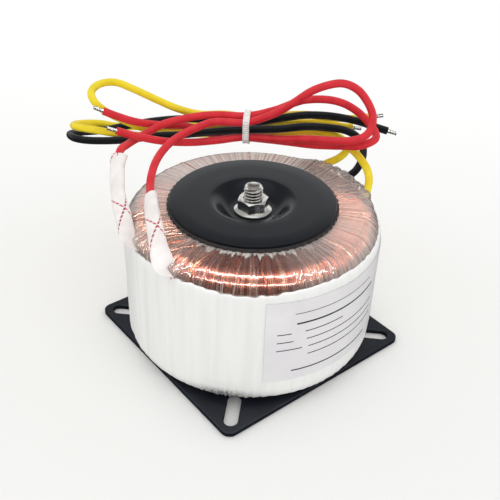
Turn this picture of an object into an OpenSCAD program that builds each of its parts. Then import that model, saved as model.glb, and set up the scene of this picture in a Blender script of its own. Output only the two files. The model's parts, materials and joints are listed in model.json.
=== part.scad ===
// Toroidal transformer on a square slotted plate, clamped by one central bolt.
// Millimetres, +Z up. The origin is on the bolt's axis, at the plate's underside.

/* [Mounting plate] */
// Side of the square mounting plate
plate_side = 110; // [104:1:130]
// Rounding of the plate's four corners
plate_corner_r = 4.5; // [2:0.5:7]
// Thickness of the plate's sheet steel
plate_t = 2.5; // [1.5:0.5:4]
// Width of the fixing slots
slot_w = 6.5; // [4.5:0.5:8]
// Length of a fixing slot, end to end
slot_l = 20; // [12:1:24]
// Distance between the centres of two opposite slots
slot_span = 123; // [112:1:124]
// Height by which the plate's centre is pressed up to house the bolt head
plate_rise = 7; // [6:0.5:12]
// Diameter of the flat top of the pressed-up centre
rise_top_d = 24; // [20:1:26]
// Diameter of the pressed-up centre where it meets the plate
rise_base_d = 34; // [30:1:36]

/* [Wound body] */
// Outer diameter of the wound body, without its bands
body_d = 119; // [112:1:126]
// Height of the wound body
body_h = 69.5; // [58:0.5:80]
// Diameter of the hole through the wound body
bore_d = 38; // [36:1:44]
// Rounding of the body's outer shoulders
shoulder_r = 10; // [7:0.5:12]
// Rounding of the body's shoulders at the hole
bore_shoulder_r = 6; // [4:0.5:8]
// Thickness of the outer copper winding
secondary_t = 1.8; // [1.4:0.1:2.6]
// Thickness of the insulation between the two windings
interlayer_t = 0.8; // [0.4:0.1:1.5]
// Thickness of the inner copper winding
primary_t = 4.6; // [3:0.1:6]
// Thickness of the wrap on the core
core_wrap_t = 1; // [0.5:0.1:2]
// How many times thicker each layer lies in the hole than outside
bore_crowding = 1.6; // [1.2:0.1:1.8]
// Ridges that stand for the turns of the outer winding
ridge_count = 96; // [72:6:120]
// Depth of the grooves between the ridges
ridge_depth = 0.7; // [0.3:0.1:1]

/* [Outer wraps] */
// Thickness of the clear film over the winding
film_t = 0.3; // [0.2:0.05:0.5]
// Depth to which the film runs on under the white band
film_tuck = 4; // [2:0.5:8]
// Thickness of the white band around the body
band_t = 0.6; // [0.4:0.1:1]
// Height of the band's pleats
pleat_h = 0.3; // [0.1:0.1:0.5]
// Pleats around the band
pleat_count = 72; // [48:4:96]
// Distance from the top of the body down to the band's upper edge
band_drop = 6; // [3:0.5:12]
// How far round the lower shoulder the band is tucked, in degrees
band_tuck_angle = 65; // [40:1:75]
// Thickness of the label
label_t = 0.15; // [0.1:0.05:0.3]
// Height of the label
label_h = 44; // [30:1:48]
// Arc that the label covers, in degrees
label_arc = 86; // [50:1:110]
// Direction of the label's middle, in degrees from the front corner
label_turn = 55; // [30:1:80]

/* [Clamping parts] */
// Thickness of the lower rubber pad
lower_pad_t = 1.5; // [1:0.1:3]
// Outer diameter of the lower rubber pad
lower_pad_d = 92; // [80:1:98]
// Thickness of the upper pad
upper_pad_t = 1.4; // [1:0.1:3]
// Width by which the upper pad's scallops stand past the washer
pad_overhang = 1; // [0.6:0.1:2]
// Scallops around the upper pad
scallop_count = 64; // [40:4:80]
// Outer diameter of the dished washer
washer_d = 78; // [70:1:84]
// Thickness of the dished washer's sheet
washer_t = 1.2; // [0.8:0.1:2]
// Diameter of the bowl at its rim
bowl_d = 41; // [38:1:44]
// Depth of the bowl
bowl_depth = 5.5; // [4:0.5:8]
// Diameter of the flat floor of the bowl
bowl_floor_d = 21; // [19:1:23]

/* [Bolt and nut] */
// Diameter of the bolt
bolt_d = 8; // [6:1:8]
// Size across the flats of the bolt head and the nut
hex_af = 13; // [12:0.5:14]
// Height of the bolt head
head_h = 5.3; // [4:0.1:5.8]
// Height of the nut
nut_h = 8; // [6:0.5:10]
// Diameter of the nut's flange
flange_d = 17.9; // [16.5:0.1:18.5]
// Length of thread that stands above the nut
thread_end = 6.5; // [3:0.5:12]

/* [Leads] */
// Outer diameter of a lead
lead_d = 3.9; // [3:0.1:3.9]
// Diameter of a lead's bared, tinned end
tip_d = 2; // [1.2:0.1:2.4]
// Length of a lead's bared end
tip_l = 5.5; // [3:0.5:10]
// Width of a flattened sleeve
sleeve_w = 7.6; // [6.5:0.1:8]
// Thickness of a flattened sleeve, across its flat
sleeve_h = 4.9; // [4.7:0.1:5.2]
// Wall of a sleeve
sleeve_wall = 0.4; // [0.2:0.05:0.4]
// Width of the cable tie
tie_w = 3.2; // [2.5:0.1:5]
// Thickness of the cable tie's band
tie_t = 1.1; // [0.8:0.1:1.6]

/* [Hidden] */
$fn = 96;
fit = 0.05;
body_z = plate_t + lower_pad_t;
body_r = body_d / 2;
bore_r = bore_d / 2;
body_top = body_z + body_h;
film_top = body_top + fit + film_t;
pad_top = film_top + upper_pad_t;
washer_top = pad_top + washer_t;
seat_z = washer_top - bowl_depth;
nut_top = seat_z + nut_h;
band_r = body_r + 2 * fit + film_t;
band_top = body_top - band_drop;
wall_z = body_z + shoulder_r;
band_crest_r = band_r + band_t + pleat_h;
hem_t = band_t * 0.8;
label_z = wall_z + (band_top - wall_z - label_h) / 2;
bolt_hole_d = bolt_d + 1;
gap_turn = 40;
rise_lap = plate_t / 2;
layer_slack = 0.3;
outer_rows = 2 * ridge_count - 1;
hollow_rows = 39;
scallop_depth = 0.7;
bowl_steps = 12;
sheet_edge = 0.4;
hex_chamfer = 0.7;
hex_reach = hex_af * 0.1;
flange_edge = 0.3;
flange_t = 1;
flange_rise = 2.6;
thread_chamfer = 0.8;
cup_r = bolt_d / 2 - 1.6;
cup_depth = 0.9;
lead_sides = 8;
lead_rings = 2;
sleeve_sides = 14;
sleeve_rings = 3;

// Insets of the layers from the body's surface, outside the hole
interlayer_in = secondary_t;
primary_in = interlayer_in + interlayer_t;
wrap_in = primary_in + primary_t;
core_in = wrap_in + core_wrap_t;

// The tie: its plane, its head, its tail and the outer strands of the bundle in it as [y, z]
tie_x = -9;
tie_z = 89;
tie_gap = 0.15;
tie_head_t = 3.6;
tie_head_l = 5;
tie_head_rim = 0.8;
tie_tail_l = 2.5;
tie_corners = [[46, 93], [49.5, 95], [53.5, 92.5], [53.5, 84.5], [49.5, 83], [46, 85]];

// Turn of each sleeve's flat about its route, at its root and at its mouth
sleeve_a_turn = [-35, 60];
sleeve_b_turn = [0, 50];

// Routes of the sleeves and leads, from the body outwards
sleeve_a_route = [
    [-50, -34.5, 70.5], [-56, -21, 73.5], [-61.5, -8, 76], [-66, 8, 81], [-67.5, 20, 85]];
sleeve_b_route = [
    [-31, -51.5, 71.5], [-34, -46, 74.5], [-39, -32.5, 77], [-44, -17, 77], [-48, -1.5, 77.5]];
red_a_route = concat(sleeve_a_route, [
    [-66, 28.5, 84.5], [-63, 38.5, 83.5], [-57.5, 45, 85], [-51, 48, 88], [-38, 49, 92],
    [-25, 49, 94.5], [-9, 49.5, 95], [4.5, 50, 99], [14, 51.5, 103], [20, 53, 104.5], [29.5, 54, 105],
    [38, 54.5, 103.5], [45.5, 55, 99.5], [51, 53, 95.5], [55, 48.5, 92.5], [55.5, 43.5, 91], [52, 39.5, 90],
    [47, 38.5, 88.5], [40, 41.5, 86.5], [32.5, 45.5, 84], [24, 48, 82.5], [8.5, 49.5, 82.5], [-9, 49.5, 83],
    [-20.5, 49.5, 82.5], [-31, 51, 83.5], [-41.5, 53, 85], [-55, 52, 85], [-65, 46, 88.5], [-73, 42, 92.5],
    [-80.5, 40, 96]]);
red_b_route = concat(sleeve_b_route, [
    [-49.5, 7, 79.5], [-49.5, 18, 82], [-47, 28, 84.5], [-42, 36, 87], [-33.5, 42, 90], [-24.5, 45, 92.5],
    [-9, 46, 93], [4.5, 45.5, 99], [14, 45, 106], [22.5, 44.5, 113], [31.5, 44.5, 117], [38, 45, 117.5],
    [44.5, 45.5, 114.5], [49.5, 45, 109], [52.5, 43, 103.5], [52.5, 39.5, 98.5], [49.5, 36.5, 95],
    [43.5, 36, 92.5], [35.5, 38.5, 90.5], [21.5, 43, 88], [8.5, 45.5, 85.5], [-9, 46, 85],
    [-24, 44.5, 82.5], [-37, 42, 81.5], [-49.5, 38, 83], [-61.5, 32, 87.5], [-71, 28.5, 91.5]]);
black_route = [[44.5, 39.5, 71], [48, 41.5, 74], [50.5, 46, 78.5], [50, 51, 83], [46, 53.5, 87],
    [39.5, 51.5, 90.5], [30, 48.5, 92.5], [20, 46.5, 93], [8.5, 46, 91], [-9, 46, 89], [-20, 46, 87.5],
    [-31, 46, 85.5], [-43, 46.5, 83], [-54.5, 47.5, 81], [-72.5, 45.5, 78], [-88, 42, 78],
    [-97.5, 43, 78], [-103, 51, 76], [-100.5, 60, 73], [-92.5, 64, 72.5], [-84, 62, 75.5],
    [-76, 60.5, 78.5], [-60.5, 58.5, 83.5], [-46, 56.5, 87], [-32.5, 54.5, 89], [-21, 52, 90.5],
    [-9, 49.5, 91], [8, 51, 94.5], [20.5, 51.5, 97], [33.5, 53.5, 96.5], [46.5, 56.5, 93.5],
    [56, 57.5, 90.5], [62, 57.5, 89]];
yellow_b_route = [[53.5, 26, 71], [54, 30, 75], [52.5, 35, 78.5], [48.5, 42, 81], [43.5, 49.5, 82],
    [37, 53.5, 85], [30, 52.5, 88], [20.5, 50.5, 89], [8, 50, 88.5], [-9, 49.5, 87], [-20, 53, 86],
    [-31.5, 56.5, 83], [-42.5, 57.5, 81], [-53, 56.5, 80.5], [-63.5, 53, 82], [-71.5, 49.5, 86.5],
    [-79.5, 44, 93.5], [-85.5, 45, 97.5], [-89, 49.5, 100], [-89.5, 55.5, 101], [-86, 60.5, 102],
    [-79, 62.5, 102], [-70, 62.5, 99], [-59, 61.5, 95], [-47, 60.5, 91], [-34.5, 59, 89.5], [-21.5, 56, 92],
    [-9, 53.5, 92.5], [7.5, 55.5, 94], [20.5, 56.5, 95], [31, 58.5, 93.5], [44.5, 61.5, 92.5],
    [54.5, 61.5, 94.5]];
yellow_a_route = [[32.5, 49, 72], [38.5, 52, 74], [42.5, 57, 76], [42.5, 63, 77.5], [38, 67, 79],
    [31.5, 66.5, 81], [25, 62.5, 82.5], [18, 58.5, 83.5], [8, 55, 84], [-9, 53.5, 84.5],
    [-21.5, 56.5, 81.5], [-32.5, 60, 78], [-43.5, 61.5, 76.5], [-54, 59.5, 76],
    [-66, 54, 77], [-77.5, 47.5, 80.5], [-88, 44.5, 83],
    [-97, 47, 82.5], [-101.5, 54, 80], [-99, 62, 77.5], [-91.5, 67.5, 75.5], [-83.5, 68, 74.5],
    [-74, 67.5, 75], [-60.5, 66.5, 77], [-43.5, 65, 79], [-27, 61, 83.5], [-17.5, 57, 87],
    [-9, 53.5, 88.5], [8, 55, 89], [20.5, 58.5, 89.5], [30, 61.5, 88.5], [38, 63, 87], [44.5, 63.5, 86.5]];

// ---- Sections of the wound body ----

// Rectangle with its right corners rounded by ro and its left ones by ri, from true arcs
module ring_section(x0, x1, z0, z1, ri, ro) {
    translate([x0 + ri, z0]) square([x1 - x0 - ri - ro, z1 - z0]);
    translate([x0, z0 + ri]) square([ri, z1 - z0 - 2 * ri]);
    translate([x1 - ro, z0 + ro]) square([ro, z1 - z0 - 2 * ro]);
    for (z = [z0 + ri, z1 - ri]) translate([x0 + ri, z]) circle(r = ri);
    for (z = [z0 + ro, z1 - ro]) translate([x1 - ro, z]) circle(r = ro);
}

// Radii of the corners of a layer that is drawn in by an inset
function inner_corner(inset) = max(bore_shoulder_r - inset, 1);
function outer_corner(inset) = max(shoulder_r - inset, 2);

// Section of the body drawn in by an inset, which grows where the layers crowd in the hole
module body_section(inset) {
    ring_section(bore_r + inset * (inset > 0 ? bore_crowding : 1), body_r - inset,
                 body_z + inset, body_top - inset,
                 inner_corner(inset), outer_corner(inset));
}

module layer(inset_out, inset_in) {
    rotate_extrude() difference() {
        body_section(inset_out);
        body_section(inset_in);
    }
}

// ---- Sub-parts ----

module core() {
    color("slategray") rotate_extrude()
        body_section(core_in);
}

module core_wrap() {
    color("khaki") layer(wrap_in, core_in);
}

module primary_winding() {
    color("peru") layer(primary_in, wrap_in);
}

module interlayer_insulation() {
    color("lightyellow") layer(interlayer_in, primary_in);
}

// Corner arc of the winding's outline: each entry is [r, z, normal r, normal z].
// The chords of an outside arc stay outside the circle.
function corner(r, z, radius, from, steps, outside) =
    let (arc_r = outside ? radius / cos(45 / steps) : radius)
    [for (i = [0 : steps]) let (a = from + 90 * i / steps)
        [r + arc_r * cos(a), z + arc_r * sin(a), cos(a), sin(a)]];

// Outline of the winding, or of the hollow in it, which slack keeps clear of the layer inside
function winding_outline(inset, slack) =
    let (left = bore_r + inset * bore_crowding - slack, right = body_r - inset + slack,
         low = body_z + inset - slack, high = body_top - inset + slack,
         ro = outer_corner(inset), ri = inner_corner(inset), hollow = slack > 0)
    concat(corner(right - ro, low + ro, ro, -90, 2, hollow),
           corner(right - ro, high - ro, ro, 0, 5, hollow),
           corner(left + ri, high - ri, ri, 90, 3, hollow),
           corner(left + ri, low + ri, ri, 180, 2, hollow));

// Meridians run from one side of the winding's narrow gap round to the other
winding_arc = 360 * (1 - 1 / ridge_count);
function meridian_angle(j, rows) =
    gap_turn + (360 - winding_arc) / 2 + winding_arc * j / (rows - 1);

// Every second meridian is drawn in to make the groove between two ridges
function outer_meridian(j) =
    let (a = meridian_angle(j, outer_rows), groove = ((j + 1) % 2) * ridge_depth / body_r)
    [for (p = winding_outline(0, 0))
        let (r = p[0] - groove * p[0] * p[2], z = p[1] - groove * p[0] * p[3])
        [r * cos(a), r * sin(a), z]];

function hollow_meridian(j) =
    let (a = meridian_angle(j, hollow_rows))
    [for (p = winding_outline(interlayer_in, layer_slack)) [p[0] * cos(a), p[0] * sin(a), p[1]]];

// Ridged shell around the section, open only at the gap between the winding's start and end
module ridged_shell() {
    n = len(winding_outline(0, 0));
    first = outer_rows * n;
    last_o = (outer_rows - 1) * n;
    last_h = first + (hollow_rows - 1) * n;
    points = concat([for (j = [0 : outer_rows - 1]) each outer_meridian(j)],
                    [for (j = [0 : hollow_rows - 1]) each hollow_meridian(j)]);
    polyhedron(points = points, faces = concat(
        flipped(wall(0, outer_rows, n)),
        wall(first, hollow_rows, n),
        flipped(end_ring(0, first, n)),
        end_ring(last_o, last_h, n)));
}

module secondary_winding() {
    color("chocolate") ridged_shell();
}

// Clear film over the top of the winding and down its shoulder
module film_wrap() {
    color([0.9, 0.8, 0.75, 0.35]) rotate_extrude() intersection() {
        difference() {
            body_section(-fit - film_t);
            body_section(-fit);
        }
        translate([bore_r + bore_shoulder_r, band_top - film_tuck])
            square([body_r, body_top]);
    }
}

// Pleated outline of the white band
module pleated_disc() {
    step = 180 / pleat_count;
    polygon([for (i = [0 : 2 * pleat_count - 1])
        (band_crest_r - pleat_h * (i % 2)) * [cos(step * i), sin(step * i)]]);
}

module side_band() {
    color("whitesmoke") {
        translate([0, 0, wall_z]) linear_extrude(band_top - wall_z) difference() {
            pleated_disc();
            circle(r = band_r, $fn = 360);
        }
        // the hem follows the lower shoulder of the body
        rotate_extrude() intersection() {
            difference() {
                translate([body_r - shoulder_r, wall_z])
                    circle(r = shoulder_r + band_r - body_r + hem_t);
                translate([body_r - shoulder_r, wall_z])
                    circle(r = shoulder_r + band_r - body_r);
            }
            translate([body_r - shoulder_r, wall_z]) polygon([
                [0, 0], [2 * shoulder_r, 0], [2 * shoulder_r, -2 * shoulder_r * sin(band_tuck_angle)],
                2 * shoulder_r * [cos(band_tuck_angle), -sin(band_tuck_angle)]]);
        }
    }
}

module label() {
    color("gainsboro") rotate([0, 0, label_turn - 90 - label_arc / 2])
        rotate_extrude(angle = label_arc)
            translate([band_crest_r, label_z]) square([label_t, label_h]);
}

module mounting_plate() {
    color("#1c1e22") {
        linear_extrude(plate_t) difference() {
            rotate(45) rounded_square(plate_side, plate_corner_r);
            for (a = [0 : 90 : 270]) rotate(a) translate([slot_span / 2, 0]) slot_outline();
            circle(d = rise_base_d - rise_lap);
        }
        // the centre is pressed up so that the bolt head stays clear of what the plate stands on
        rotate_extrude() polygon([
            [bolt_hole_d / 2, plate_rise], [rise_top_d / 2, plate_rise],
            [rise_base_d / 2 - plate_t / 2, 0], [rise_base_d / 2, 0], [rise_base_d / 2, plate_t],
            [rise_top_d / 2 + plate_t / 2, plate_rise + plate_t], [bolt_hole_d / 2, plate_rise + plate_t]]);
    }
}

module rounded_square(side, r) {
    square([side - 2 * r, side], center = true);
    square([side, side - 2 * r], center = true);
    for (x = [-1, 1], y = [-1, 1]) translate([x, y] * (side / 2 - r)) circle(r = r);
}

module slot_outline() {
    square([slot_l - slot_w, slot_w], center = true);
    for (x = [-1, 1]) translate([x * (slot_l - slot_w) / 2, 0]) circle(d = slot_w);
}

module lower_pad() {
    color("#202020") translate([0, 0, plate_t]) linear_extrude(lower_pad_t) difference() {
        circle(d = lower_pad_d);
        circle(d = bore_d);
    }
}

module upper_pad() {
    step = 180 / scallop_count;
    color("#151515") translate([0, 0, film_top]) linear_extrude(upper_pad_t) difference() {
        polygon([for (i = [0 : 2 * scallop_count - 1])
            let (r = washer_d / 2 + pad_overhang * (1 - scallop_depth * (i % 2)))
            r * [cos(step * i), sin(step * i)]]);
        circle(d = bowl_d + 2 * washer_t);
    }
}

// Upper face of the bowl, from its floor up to its rim
bowl_curve = [
    for (i = [0 : bowl_steps]) let (t = i / bowl_steps)
        [(bowl_floor_d + (bowl_d - bowl_floor_d) * t) / 2, seat_z + bowl_depth * (1 - cos(180 * t)) / 2]];

module dish_washer() {
    upper = concat([[bolt_hole_d / 2, seat_z]], bowl_curve,
                   [[washer_d / 2 - sheet_edge, washer_top], [washer_d / 2, washer_top - sheet_edge]]);
    lower = concat([[washer_d / 2, pad_top]],
                   [for (i = [bowl_steps : -1 : 0]) bowl_curve[i] - [0, washer_t]],
                   [[bolt_hole_d / 2, seat_z - washer_t]]);
    color("#18191c") rotate_extrude() polygon(concat(upper, lower));
}

// Hexagonal prism whose corners are chamfered at its top
module hex_prism(h) {
    intersection() {
        linear_extrude(h) circle(d = hex_af / cos(30), $fn = 6);
        rotate_extrude() polygon([
            [0, 0], [hex_af / 2 + hex_reach, 0], [hex_af / 2 + hex_reach, h - hex_chamfer],
            [hex_af / 2, h], [0, h]]);
    }
}

// The head is chamfered at its lower end, and the shank ends in a chamfer and a shallow cup
module bolt() {
    shank_r = bolt_d / 2 - fit;
    end_z = nut_top + thread_end;
    color("silver") {
        translate([0, 0, plate_rise]) mirror([0, 0, 1]) hex_prism(head_h);
        rotate_extrude() polygon([
            [0, plate_rise], [shank_r, plate_rise], [shank_r, end_z - thread_chamfer],
            [shank_r - thread_chamfer, end_z], [cup_r, end_z], [0, end_z - cup_depth]]);
    }
}

module flange_nut() {
    color("silver") translate([0, 0, seat_z]) difference() {
        union() {
            hex_prism(nut_h);
            rotate_extrude() polygon([
                [0, 0], [flange_d / 2 - flange_edge, 0], [flange_d / 2, flange_edge],
                [flange_d / 2, flange_t], [hex_af / 2, flange_rise], [0, flange_rise]]);
        }
        translate([0, 0, -1]) cylinder(d = bolt_d, h = nut_h + 2);
    }
}

// ---- Sleeves and leads ----

function unit(v) = v / norm(v);

// Catmull-Rom curve through the points of a route, with k steps between two points
function curve(route, k) = let (n = len(route)) concat([
    for (i = [0 : n - 2], j = [0 : k - 1])
        let (p1 = route[i], p2 = route[i + 1],
             p0 = i > 0 ? route[i - 1] : 2 * p1 - p2,
             p3 = i < n - 2 ? route[i + 2] : 2 * p2 - p1, t = j / k)
        0.5 * (2 * p1 + t * (p2 - p0) + t * t * (2 * p0 - 5 * p1 + 4 * p2 - p3)
               + t * t * t * (3 * p1 - p0 - 3 * p2 + p3))],
    [route[n - 1]]);

function tangents(path) = let (n = len(path)) [
    for (i = [0 : n - 1]) unit(path[min(i + 1, n - 1)] - path[max(i - 1, 0)])];

// Normals carried along the path without turning about it
function normals(t) = [
    for (i = 0, v = unit(cross(t[0], [0.3, 0.2, 1])); i < len(t);
         i = i + 1, v = i < len(t) ? unit(v - (v * t[i]) * t[i]) : v) v];

function ring(centre, u, v, a, b, sides) = [
    for (k = [0 : sides - 1]) centre + a * cos(360 * k / sides) * u + b * sin(360 * k / sides) * v];

// Triangles between ring i and ring i + 1, counted from a first point
function wall(first, rings, sides) = [
    for (i = [0 : rings - 2], k = [0 : sides - 1])
        let (a = first + i * sides + k, b = first + i * sides + (k + 1) % sides)
        each [[a, a + sides, b], [b, a + sides, b + sides]]];

function flipped(faces) = [for (f = faces) [f[2], f[1], f[0]]];

// Triangles of the flat ring between an outer and an inner outline of n points each
function end_ring(outer, inner, n) = [
    for (i = [0 : n - 1]) let (k = (i + 1) % n)
        each [[outer + i, outer + k, inner + k], [outer + i, inner + k, inner + i]]];

module lead(route) {
    path = curve(route, lead_rings);
    t = tangents(path);
    u = normals(t);
    n = len(path);
    r = lead_d / 2;
    points = [for (i = [0 : n - 1]) each ring(path[i], u[i], cross(t[i], u[i]), r, r, lead_sides)];
    polyhedron(points = points, faces = concat(
        [[for (k = [0 : lead_sides - 1]) k]],
        wall(0, n, lead_sides),
        [[for (k = [lead_sides - 1 : -1 : 0]) (n - 1) * lead_sides + k]]));
}

// Bared conductor that carries on straight from the last stretch of a lead
module tip(route) {
    path = curve(route, lead_rings);
    n = len(path);
    d = unit(path[n - 1] - path[n - 2]);
    color("lightgray") translate(path[n - 1])
        rotate([0, acos(d[2]), atan2(d[1], d[0])]) cylinder(d = tip_d, h = tip_l);
}

// Woven sleeve, pressed flat and turned about its route from one angle to another
module sleeve(route, turn_from, turn_to) {
    path = curve(route, sleeve_rings);
    t = tangents(path);
    n = len(path);
    outer = [for (i = [0 : n - 1]) each sleeve_ring(path, t, i, turn_from, turn_to, 0)];
    inner = [for (i = [0 : n - 1]) each sleeve_ring(path, t, i, turn_from, turn_to, sleeve_wall)];
    first = n * sleeve_sides;
    color("linen") polyhedron(points = concat(outer, inner), faces = concat(
        wall(0, n, sleeve_sides),
        flipped(wall(first, n, sleeve_sides)),
        end_ring(0, first, sleeve_sides),
        flipped(end_ring(first - sleeve_sides, 2 * first - sleeve_sides, sleeve_sides))));
}

function sleeve_ring(path, t, i, turn_from, turn_to, inset) =
    let (side = unit(cross(t[i], [0, 0, 1])), up = cross(side, t[i]),
         a = turn_from + (turn_to - turn_from) * i / (len(path) - 1),
         u = cos(a) * side + sin(a) * up, v = cross(t[i], u))
    ring(path[i], u, v, sleeve_w / 2 - inset, sleeve_h / 2 - inset, sleeve_sides);

module sleeve_a() {
    sleeve(sleeve_a_route, sleeve_a_turn[0], sleeve_a_turn[1]);
}

module sleeve_b() {
    sleeve(sleeve_b_route, sleeve_b_turn[0], sleeve_b_turn[1]);
}

module lead_red_a() {
    color("crimson") lead(red_a_route);
}

module lead_red_b() {
    color("crimson") lead(red_b_route);
}

module lead_yellow_a() {
    color("gold") lead(yellow_a_route);
}

module lead_yellow_b() {
    color("gold") lead(yellow_b_route);
}

module lead_black() {
    color("#18191c") lead(black_route);
}

// Outline of the ten strands that the tie holds, as seen along the bundle
module bundle_outline(spread) {
    hull() for (p = tie_corners) translate(p) circle(r = lead_d / 2 + spread, $fn = 24);
}

// The band closes in a small head at the back, and the tail is cut off behind it
module cable_tie() {
    back = tie_corners[3][0] + lead_d / 2 + tie_gap + tie_t;
    head_w = tie_w + 2 * tie_head_rim;
    color("white") translate([tie_x - tie_w / 2, 0, 0]) rotate([90, 0, 90]) {
        linear_extrude(tie_w) difference() {
            bundle_outline(tie_gap + tie_t);
            bundle_outline(tie_gap);
        }
        translate([back - tie_t / 2, tie_z - tie_head_l / 2, -tie_head_rim])
            cube([tie_head_t, tie_head_l, head_w]);
        translate([back + tie_t / 2, tie_z + tie_head_l / 2, 0]) cube([tie_t, tie_tail_l, tie_w]);
    }
}

mounting_plate();
lower_pad();
bolt();
core();
core_wrap();
primary_winding();
interlayer_insulation();
secondary_winding();
film_wrap();
side_band();
label();
upper_pad();
dish_washer();
flange_nut();
sleeve_a();
sleeve_b();
lead_red_a();
lead_red_b();
lead_yellow_a();
lead_yellow_b();
lead_black();
tip(red_a_route);  // tip_red_a
tip(red_b_route);  // tip_red_b
tip(yellow_a_route);  // tip_yellow_a
tip(yellow_b_route);  // tip_yellow_b
tip(black_route);  // tip_black
cable_tie();
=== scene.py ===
# Looks of the toroidal transformer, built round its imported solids. Metres, +Z up.
import json
import math
import random
from math import cos, pi, radians, sin

import bmesh
import bpy
import numpy as np
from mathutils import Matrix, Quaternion, Vector

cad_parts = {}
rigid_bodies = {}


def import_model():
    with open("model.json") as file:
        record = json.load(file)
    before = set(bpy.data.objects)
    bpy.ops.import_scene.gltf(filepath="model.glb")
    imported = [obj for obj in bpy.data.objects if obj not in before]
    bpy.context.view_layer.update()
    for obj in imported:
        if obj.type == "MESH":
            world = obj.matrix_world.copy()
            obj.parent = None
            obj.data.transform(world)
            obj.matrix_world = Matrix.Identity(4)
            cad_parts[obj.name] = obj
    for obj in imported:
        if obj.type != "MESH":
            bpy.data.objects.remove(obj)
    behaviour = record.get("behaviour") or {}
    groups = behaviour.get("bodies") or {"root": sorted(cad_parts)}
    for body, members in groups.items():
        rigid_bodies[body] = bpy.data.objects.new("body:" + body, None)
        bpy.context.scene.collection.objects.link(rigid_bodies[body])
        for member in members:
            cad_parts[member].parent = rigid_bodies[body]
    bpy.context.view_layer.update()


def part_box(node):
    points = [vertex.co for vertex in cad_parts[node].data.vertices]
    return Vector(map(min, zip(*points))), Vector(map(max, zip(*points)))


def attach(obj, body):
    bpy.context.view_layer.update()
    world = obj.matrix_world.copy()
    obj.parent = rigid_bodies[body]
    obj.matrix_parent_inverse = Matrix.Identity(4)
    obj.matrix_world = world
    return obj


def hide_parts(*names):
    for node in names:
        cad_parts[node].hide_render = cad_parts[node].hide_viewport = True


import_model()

MM = 0.001
BODY = "root"


def placed(name, data):
    """A new object in the scene."""
    made = bpy.data.objects.new(name, data)
    bpy.context.scene.collection.objects.link(made)
    return made


# ---- Sizes read from the frame ----

def low(node):
    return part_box(node)[0]


def high(node):
    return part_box(node)[1]


BODY_R = high("secondary_winding").x
BODY_Z0 = low("secondary_winding").z
BODY_Z1 = high("secondary_winding").z
SHOULDER_R = 10 * MM
BORE_R = 19 * MM
BORE_SHOULDER_R = 6 * MM
BAND_Z1 = high("side_band").z
WASHER_Z1 = high("dish_washer").z
PLATE_T = 2.5 * MM
LEAD_D = 3.9 * MM


# ---- Camera ----

CAMERA_AZIMUTH = 5.185
CAMERA_ELEVATION = 40.52
CAMERA_DISTANCE = 0.39553
CAMERA_TARGET = Vector((-0.56, 0, 47.735)) * MM
CAMERA_ROLL = 2.1695
CAMERA_LENS = 54.43


def add_camera():
    azimuth = radians(CAMERA_AZIMUTH)
    elevation = radians(CAMERA_ELEVATION)
    place = CAMERA_DISTANCE * Vector((
        sin(azimuth) * cos(elevation),
        -cos(azimuth) * cos(elevation),
        sin(elevation)))
    camera = placed("camera", bpy.data.cameras.new("camera"))
    camera.data.lens = CAMERA_LENS
    camera.data.sensor_width = 36
    camera.data.clip_start = 0.01
    camera.location = place
    look = (CAMERA_TARGET - place).to_track_quat("-Z", "Y")
    camera.rotation_mode = "QUATERNION"
    camera.rotation_quaternion = look @ Quaternion((0, 0, 1), radians(CAMERA_ROLL))
    bpy.context.scene.camera = camera


add_camera()


# ---- Node materials ----

def rgba(color):
    """Linear colour of a six-digit sRGB code, a grey level or three numbers."""
    if isinstance(color, str):
        parts = [int(color[i:i + 2], 16) / 255 for i in (0, 2, 4)]
        color = [v / 12.92 if v <= 0.04045 else ((v + 0.055) / 1.055) ** 2.4 for v in parts]
    elif isinstance(color, (int, float)):
        color = (color,) * 3
    return (*color, 1)


class Nodes:
    """Short calls that add nodes to a tree. An input is a number, a colour or a socket to link."""

    def __init__(self, tree):
        self.nodes, self.links = tree.nodes, tree.links

    def set(self, socket, value):
        if isinstance(value, (int, float)):
            socket.default_value = value
        elif isinstance(value, (str, tuple)):
            socket.default_value = rgba(value)
        else:
            self.links.new(value, socket)

    def node(self, kind, inputs=(), **settings):
        """A new node. Its inputs come in order, or by name."""
        made = self.nodes.new("ShaderNode" + kind)
        for name, value in settings.items():
            setattr(made, name, value)
        for key, value in inputs.items() if isinstance(inputs, dict) else enumerate(inputs):
            self.set(made.inputs[key], value)
        return made

    def math(self, operation, a, b=0.0, clamp=False):
        return self.node("Math", (a, b), operation=operation, use_clamp=clamp).outputs["Value"]

    def mix(self, factor, a, b):
        return self.node("Mix", {"Factor": factor, "A": a, "B": b}, data_type="RGBA").outputs["Result"]

    def blend(self, factor, a, b):
        """A mix of two shaders."""
        return self.node("MixShader", (factor, a, b)).outputs["Shader"]

    def spread(self, value, low_end, high_end, span=(0, 1)):
        """The range that a value's span is stretched to."""
        return self.node("MapRange", (value, *span, low_end, high_end)).outputs["Result"]

    def ramp(self, value, stops):
        made = self.node("ValToRGB", (value,))
        elements = made.color_ramp.elements
        while len(elements) < len(stops):
            elements.new(0.5)
        for element, (place, color) in zip(elements, stops):
            element.position = place
            element.color = rgba(color)
        return made.outputs["Color"]

    def axes(self, coordinates):
        """X, Y and Z of the object's own coordinates, or of those that the room is seen by."""
        vector = self.node("TexCoord").outputs[coordinates]
        return (self.node("SeparateXYZ", (vector,)).outputs[k] for k in "XYZ")

    def is_glossy_ray(self):
        return self.node("LightPath").outputs["Is Glossy Ray"]


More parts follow.
